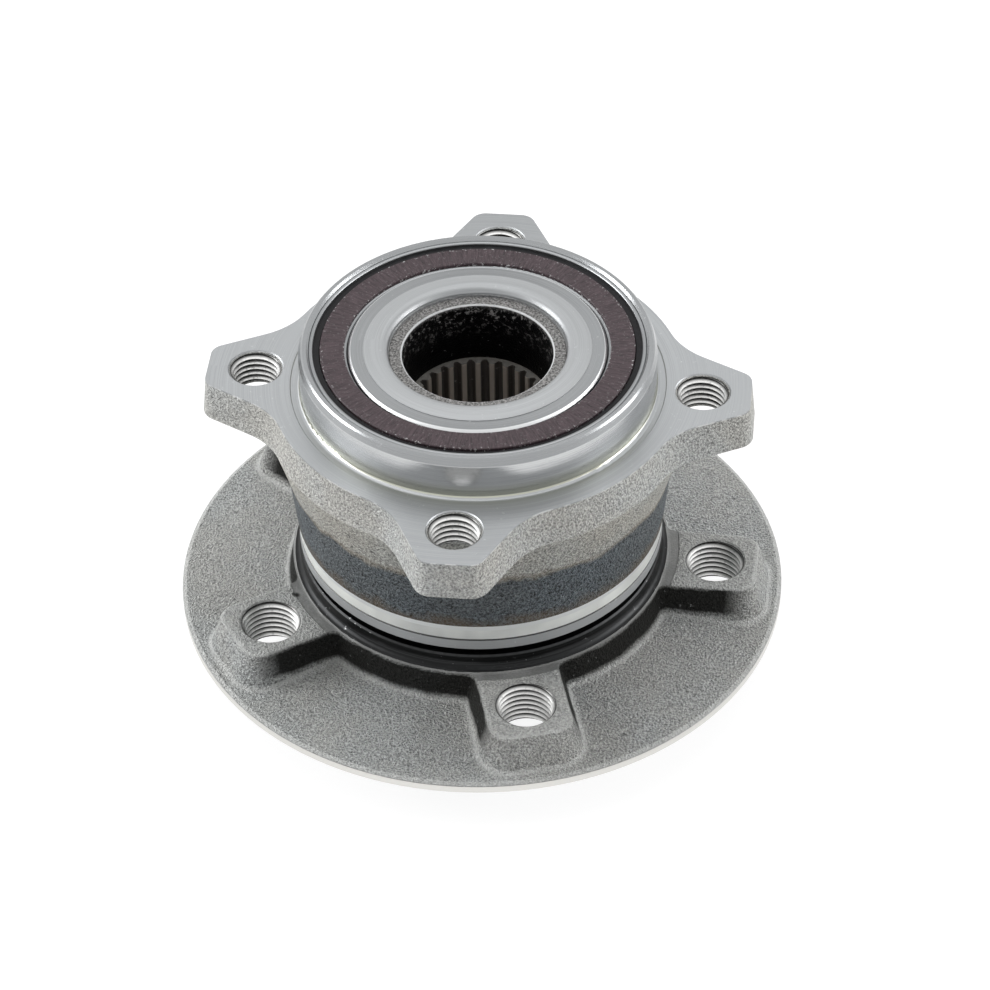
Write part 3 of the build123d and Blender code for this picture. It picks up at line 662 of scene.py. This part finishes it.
def ground_ring_finish(paint):
    """Fine ground steel of the inner ring, bright at its edges."""
    look = Finish("ground_ring")
    tree, radius, height = look.tree, look.radius, look.height
    lines = look.use("lines", Across=radius, Angle=look.angle, Fineness=7.0)
    scuffs = look.use("scuffs", Place=look.place, Size=1200.0)
    edge_radius, end_face = 29.12, 71.7
    colour = tones(tree, lines["Shade"], paint.turned_steel, 0.6, 0.88)
    edge = times(tree, over(tree, radius, edge_radius, 0.04), over(tree, height, end_face))
    colour = blend(tree, edge, colour, shade(paint.bright_steel, 1.1))
    colour = blend(tree, times(tree, scuffs["Mask"], 0.5), colour, paint.bright_steel)
    look.feed(Base_Color=colour, Metallic=0.95, Roughness=mix(tree, lines["Shade"], 0.32, 0.42))
    look.turned(0.5)
    look.raise_surface(lines["Height"], 0.012)
    return look.material


def ball_finish(paint):
    """Polished bearing balls with a faint haze."""
    look = Finish("polished_ball")
    haze = noise(look.tree, look.place, 220.0)
    look.feed(Base_Color=blend(look.tree, haze, paint.ball_dull, paint.ball_bright), Metallic=1.0)
    look.feed(Roughness=ramp(look.tree, haze, 0.3, 0.7, 0.06, 0.14))
    return look.material


def cage_finish(paint):
    """Glass-filled cage plastic with flow marks."""
    look = Finish("cage_plastic")
    tree = look.tree
    flow = noise(tree, look.place, 160.0, 5.0)
    look.feed(Base_Color=tones(tree, flow, paint.cage_plastic, 0.8, 1.08))
    look.feed(Roughness=ramp(tree, flow, 0.3, 0.7, 0.38, 0.52))
    look.raise_surface(noise(tree, look.place, 1500.0), 0.04)
    return look.material


def pressed_case_finish(paint):
    """Pressed and plated sheet of the seal cases and the carrier."""
    look = Finish("pressed_case")
    tree = look.tree
    across = add(tree, look.radius, look.height)
    lines = look.use("lines", Across=across, Angle=look.angle, Fineness=9.0)
    colour = tones(tree, lines["Shade"], paint.turned_steel, 0.6, 1.0)
    look.feed(Base_Color=colour, Metallic=0.95, Roughness=mix(tree, lines["Shade"], 0.26, 0.36))
    look.raise_surface(lines["Height"], 0.01)
    return look.material


def seal_rubber_finish(paint):
    """Black moulded rubber with a dusty bloom."""
    look = Finish("seal_rubber")
    tree = look.tree
    bloom = noise(tree, look.place, 500.0, 4.0)
    colour = tones(tree, ramp(tree, bloom, 0.45, 0.75), paint.seal_rubber, 1.0, 2.5)
    roughness = ramp(tree, bloom, 0.3, 0.7, 0.5, 0.7)
    look.feed(Base_Color=colour, Roughness=roughness, Specular_IOR_Level=0.2)
    look.raise_surface(bloom, 0.03)
    return look.material


def sensor_ring_finish(paint):
    """Magnetic rubber with fine radial streaks and dust at its edges."""
    look = Finish("sensor_ring")
    tree, radius = look.tree, look.radius
    inner_edge, outer_edge = 30.75, 35.55
    around = times(tree, look.angle, 420.0)
    streaks = noise(tree, spot(tree, around, times(tree, radius, 0.22), 0.0), 1.0, 3.0, 0.7)
    fine = spot(tree, times(tree, around, 2.4), times(tree, radius, 0.5), 3.0)
    fine = noise(tree, fine, 1.0, 2.0, 0.6)
    streak = ramp(tree, add(tree, times(tree, streaks, 0.6), times(tree, fine, 0.4)), 0.36, 0.64)
    colour = tones(tree, streak, paint.sensor_rubber, 0.5, 1.9)
    dusty = most(tree, over(tree, radius, outer_edge, 0.3), under(tree, radius, inner_edge, 0.2))
    specks = over(tree, noise(tree, look.place, 1500.0, 3.0, 0.7), 0.62, 0.03)
    colour = blend(tree, times(tree, specks, mix(tree, dusty, 0.12, 0.9)), colour, paint.dust)
    look.feed(Base_Color=colour, Roughness=mix(tree, streak, 0.55, 0.4), Specular_IOR_Level=0.3)
    look.raise_surface(streak, 0.02)
    return look.material


def cut_thread_finish(paint):
    """A cut thread whose crests are painted bright as a painted highlight and whose roots are
    painted dark as painted shade.
    """
    look = Finish("cut_thread")
    tree = look.tree
    crest = tree.nodes.new("ShaderNodeAttribute")
    crest.attribute_name = "crest"
    wear = noise(tree, look.place, 1500.0, 3.0)
    # Painted highlight on the crests and painted shade in the roots
    bright = ramp(tree, crest.outputs["Fac"], 0.1, 0.8)
    colour = blend(tree, bright, paint.painted_root_shade, paint.painted_crest_highlight)
    colour = blend(tree, ramp(tree, wear, 0.55, 0.7, 0.0, 0.5), colour, paint.thread_worn)
    look.feed(Base_Color=colour, Metallic=0.8, Roughness=mix(tree, wear, 0.28, 0.42))
    look.raise_surface(wear, 0.02)
    return look.material


def paint_nodes(material, names):
    """Gives CAD nodes a finish."""
    for name in names:
        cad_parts[name].material_slots[0].material = material


# Threads

# One turn of a thread's profile: shares of its pitch, each with a share of its depth
THREAD_PROFILE = (
    (0.00, 0.0), (0.09, 0.0), (0.21, 0.33), (0.33, 0.67), (0.45, 1.0),
    (0.55, 1.0), (0.67, 0.67), (0.79, 0.33), (0.91, 0.0),
)
WHEEL_HOLES, KNUCKLE_HOLES = 5, 4


def thread_sleeve(name, centre, radius, bottom, top, chamfer, sizes, material, body, slot):
    """The ridges of a cut thread inside a bore, cut back by the cones at its two mouths."""
    pitch, depth, steps = sizes.pitch, sizes.depth, sizes.steps
    wall = radius - sizes.clearance
    low, high = bottom + chamfer, top - chamfer
    turns = math.ceil((high - low) / pitch) + 1
    rows = [
        ((turn + share) * pitch, rise)
        for turn in range(-1, turns)
        for share, rise in THREAD_PROFILE
    ]
    points, crest = [], []
    for index in range(steps + 1):
        around = 2 * math.pi * index / steps
        for start, rise in rows:
            z = min(max(low + start + pitch * index / steps, low), high)
            mouth = wall - min(z - low, high - z)
            reach = max(wall - depth * rise, mouth)
            x = centre[0] + reach * math.cos(around)
            y = centre[1] + reach * math.sin(around)
            points.append((x, y, z))
            crest.append(min(1.0, max(0.0, (wall - reach) / depth)))
    count = len(rows)
    faces = []
    for index in range(steps):
        for row in range(count - 1):
            first = index * count + row
            faces.append((first, first + 1, first + count + 1, first + count))
    mesh = bpy.data.meshes.new(name)
    mesh.from_pydata(points, [], faces)
    mesh.attributes.new("crest", "FLOAT", "POINT").data.foreach_set("value", crest)
    mesh.validate()
    mesh.materials.append(material)
    sleeve = bpy.data.objects.new(name, mesh)
    bpy.context.scene.collection.objects.link(sleeve)
    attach(sleeve, body)


def thread_ring(name, holes, turn, circle, *sleeve):
    """A thread sleeve in each hole of a bolt circle."""
    for number in range(holes):
        around = turn + 2 * math.pi * number / holes
        centre = (circle * math.cos(around), circle * math.sin(around))
        thread_sleeve(f"{name}_{number + 1}", centre, *sleeve)


# Studio: places and sizes of lamps are in metres

SENSOR_WIDTH = 36.0
NEAR_CLIP, FAR_CLIP = 0.05, 20.0
LAMP_TARGET = (0, 0, 0.03)
LAMPS = (
    # name, place, width, height, the setting that holds its power
    ("overhead_lamp", (-0.1, 0.3, 1.6), 2.2, 1.8, "overhead_power"),
    ("left_lamp", (-1.35, 0.0, 0.45), 0.8, 0.8, "left_power"),
    ("right_lamp", (1.35, 0.15, 0.45), 0.8, 0.8, "right_power"),
)


def floor_paper(name):
    """White paper that shows only a faint shadow to the camera."""
    paper, seen_paper, seen_glow = (0.85, 0.85, 0.85), (0.24, 0.24, 0.24), 0.86
    material = bpy.data.materials.new(name)
    material.use_nodes = True
    tree = material.node_tree
    tree.nodes.clear()
    seen = seen_directly(tree)
    diffuse = tree.nodes.new("ShaderNodeBsdfDiffuse")
    plug(tree, diffuse.inputs["Color"], blend(tree, seen, paper, seen_paper))
    glow = tree.nodes.new("ShaderNodeEmission")
    plug(tree, glow.inputs["Strength"], times(tree, seen, seen_glow))
    total = tree.nodes.new("ShaderNodeAddShader")
    plug(tree, total.inputs[0], diffuse.outputs[0])
    plug(tree, total.inputs[1], glow.outputs[0])
    output = tree.nodes.new("ShaderNodeOutputMaterial")
    plug(tree, output.inputs["Surface"], total.outputs[0])
    return material


def floor_sheet(size, height):
    """The flat floor under the hub."""
    mesh = bpy.data.meshes.new("floor")
    half = size / 2
    corners = [(-half, -half, 0), (half, -half, 0), (half, half, 0), (-half, half, 0)]
    mesh.from_pydata(corners, [], [(0, 1, 2, 3)])
    mesh.materials.append(floor_paper("floor_paper"))
    floor = bpy.data.objects.new("floor", mesh)
    floor.location.z = height
    bpy.context.scene.collection.objects.link(floor)


def soft_lamp(name, centre, width, height, power):
    """A soft rectangular studio lamp that looks at the hub."""
    data = bpy.data.lights.new(name, "AREA")
    data.shape = "RECTANGLE"
    data.size, data.size_y = width, height
    data.energy = power
    lamp = bpy.data.objects.new(name, data)
    lamp.location = centre
    lamp.rotation_mode = "QUATERNION"
    lamp.rotation_quaternion = (Vector(LAMP_TARGET) - Vector(centre)).to_track_quat("-Z", "Y")
    bpy.context.scene.collection.objects.link(lamp)


def room_world(front_light, room_light):
    """A white room to look at, whose light grows from the front to the back."""
    world = bpy.data.worlds.new("studio_room")
    world.use_nodes = True
    tree = world.node_tree
    tree.nodes.clear()
    seen = seen_directly(tree)
    split = tree.nodes.new("ShaderNodeSeparateXYZ")
    plug(tree, split.inputs[0], tree.nodes.new("ShaderNodeTexCoord").outputs["Generated"])
    light = ramp(tree, split.outputs["Y"], -0.75, 0.25, front_light, room_light)
    background = tree.nodes.new("ShaderNodeBackground")
    plug(tree, background.inputs["Color"], (1.0, 1.0, 1.0))
    plug(tree, background.inputs["Strength"], mix(tree, seen, light, 1.0))
    output = tree.nodes.new("ShaderNodeOutputWorld")
    plug(tree, output.inputs["Surface"], background.outputs[0])
    return world


def product_camera(studio):
    """The camera of the product shot, aimed a little off the hub's origin."""
    back = Vector((0, -math.cos(studio.elevation), math.sin(studio.elevation)))
    forward, right = -back, Vector((1, 0, 0))
    up = right.cross(forward)
    turn = Matrix.Rotation(studio.pan, 3, up)
    forward, right = turn @ forward, turn @ right
    turn = Matrix.Rotation(studio.tilt, 3, right)
    forward, up = turn @ forward, turn @ up
    turn = Matrix.Rotation(studio.roll, 3, forward)
    right, up = turn @ right, turn @ up
    facing = Matrix((right, up, -forward)).transposed().to_4x4()
    camera = bpy.data.objects.new("camera", bpy.data.cameras.new("camera"))
    camera.data.lens = studio.lens
    camera.data.sensor_width = SENSOR_WIDTH
    camera.data.clip_start, camera.data.clip_end = NEAR_CLIP, FAR_CLIP
    round_hub = Matrix.Rotation(studio.azimuth, 4, "Z")
    camera.matrix_world = round_hub @ Matrix.Translation(back * studio.distance) @ facing
    bpy.context.scene.collection.objects.link(camera)
    return camera


# Operators


class HUB_OT_hub_forging(bpy.types.Operator):
    """Finishes the hub: forged flange, neck painted dark as painted shade, rolled collar and
    splined bore
    """

    bl_idname = "hub_bearing.hub_forging"
    bl_label = "Hub Forging"

    def execute(self, context):
        paint_nodes(hub_forging_finish(context.scene.hub_colours), ["wheel_hub"])
        return {"FINISHED"}


class HUB_OT_outer_ring(bpy.types.Operator):
    """Finishes the outer ring with its ears and spigot"""

    bl_idname = "hub_bearing.outer_ring"
    bl_label = "Outer Ring"

    def execute(self, context):
        paint_nodes(outer_ring_finish(context.scene.hub_colours), ["outer_ring"])
        return {"FINISHED"}


class HUB_OT_rolling_set(bpy.types.Operator):
    """Finishes the inner ring, the balls and their cages"""

    bl_idname = "hub_bearing.rolling_set"
    bl_label = "Rolling Set"

    def execute(self, context):
        paint = context.scene.hub_colours
        paint_nodes(ground_ring_finish(paint), ["inner_ring"])
        paint_nodes(ball_finish(paint), [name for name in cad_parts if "_ball_" in name])
        paint_nodes(cage_finish(paint), ["inboard_cage", "outboard_cage"])
        return {"FINISHED"}


class HUB_OT_seals(bpy.types.Operator):
    """Finishes the seals and the sensor ring"""

    bl_idname = "hub_bearing.seals"
    bl_label = "Seals and Sensor Ring"

    def execute(self, context):
        paint = context.scene.hub_colours
        cases = ["inboard_seal_case", "outboard_seal_case", "encoder_carrier"]
        paint_nodes(pressed_case_finish(paint), cases)
        paint_nodes(seal_rubber_finish(paint), ["inboard_seal_lips", "outboard_seal_lips"])
        paint_nodes(sensor_ring_finish(paint), ["encoder_ring"])
        return {"FINISHED"}


class HUB_OT_threads(bpy.types.Operator):
    """Cuts the threads in the wheel bolt holes and the knuckle bolt holes"""

    bl_idname = "hub_bearing.threads"
    bl_label = "Threads"

    def execute(self, context):
        sizes = context.scene.hub_threads
        material = cut_thread_finish(context.scene.hub_colours)
        thread_ring(
            "wheel_thread", WHEEL_HOLES, sizes.wheel_turn, sizes.wheel_circle,
            sizes.wheel_radius, sizes.wheel_bottom, sizes.wheel_top, sizes.wheel_chamfer,
            sizes, material, "hub", "forged_hub_steel",
        )
        thread_ring(
            "knuckle_thread", KNUCKLE_HOLES, sizes.knuckle_turn, sizes.knuckle_circle,
            sizes.knuckle_radius, sizes.knuckle_bottom, sizes.knuckle_top, sizes.knuckle_chamfer,
            sizes, material, "outer", "forged_ring_steel",
        )
        return {"FINISHED"}


class HUB_OT_studio(bpy.types.Operator):
    """Sets up the white floor, the soft lamps and the camera of the product shot"""

    bl_idname = "hub_bearing.studio"
    bl_label = "Studio"

    def execute(self, context):
        scene, studio = context.scene, context.scene.hub_studio
        scene.view_settings.view_transform = "Standard"
        scene.world = room_world(studio.front_light, studio.room_light)
        floor_sheet(studio.floor_size, cad_low.z)
        for name, centre, width, height, power in LAMPS:
            soft_lamp(name, centre, width, height, getattr(studio, power))
        scene.camera = product_camera(studio)
        return {"FINISHED"}


class HUB_PT_panel(bpy.types.Panel):
    """Lists the steps that dress the wheel hub bearing"""

    bl_idname = "HUB_PT_panel"
    bl_label = "Hub Bearing"
    bl_space_type = "VIEW_3D"
    bl_region_type = "UI"
    bl_category = "Hub Bearing"

    def draw(self, context):
        for step in steps:
            self.layout.operator(step.bl_idname)
        scene = context.scene
        for group in (scene.hub_threads, scene.hub_colours, scene.hub_studio):
            column = self.layout.column()
            for name in group.__annotations__:
                column.prop(group, name)


steps = (
    HUB_OT_hub_forging, HUB_OT_outer_ring, HUB_OT_rolling_set,
    HUB_OT_seals, HUB_OT_threads, HUB_OT_studio,
)
classes = (HubThreadSizes, HubFinishColours, HubStudioSettings, *steps, HUB_PT_panel)


def register():
    """Adds the settings, the steps and the panel to Blender."""
    for cls in classes:
        bpy.utils.register_class(cls)
    bpy.types.Scene.hub_threads = PointerProperty(type=HubThreadSizes)
    bpy.types.Scene.hub_colours = PointerProperty(type=HubFinishColours)
    bpy.types.Scene.hub_studio = PointerProperty(type=HubStudioSettings)


def unregister():
    """Takes the settings, the steps and the panel out of Blender again."""
    del bpy.types.Scene.hub_studio
    del bpy.types.Scene.hub_colours
    del bpy.types.Scene.hub_threads
    for cls in reversed(classes):
        bpy.utils.unregister_class(cls)


def main():
    """Dresses the loaded hub step by step."""
    register()
    bpy.ops.hub_bearing.hub_forging()
    bpy.ops.hub_bearing.outer_ring()
    bpy.ops.hub_bearing.rolling_set()
    bpy.ops.hub_bearing.seals()
    bpy.ops.hub_bearing.threads()
    bpy.ops.hub_bearing.studio()


if __name__ == "__main__":
    main()
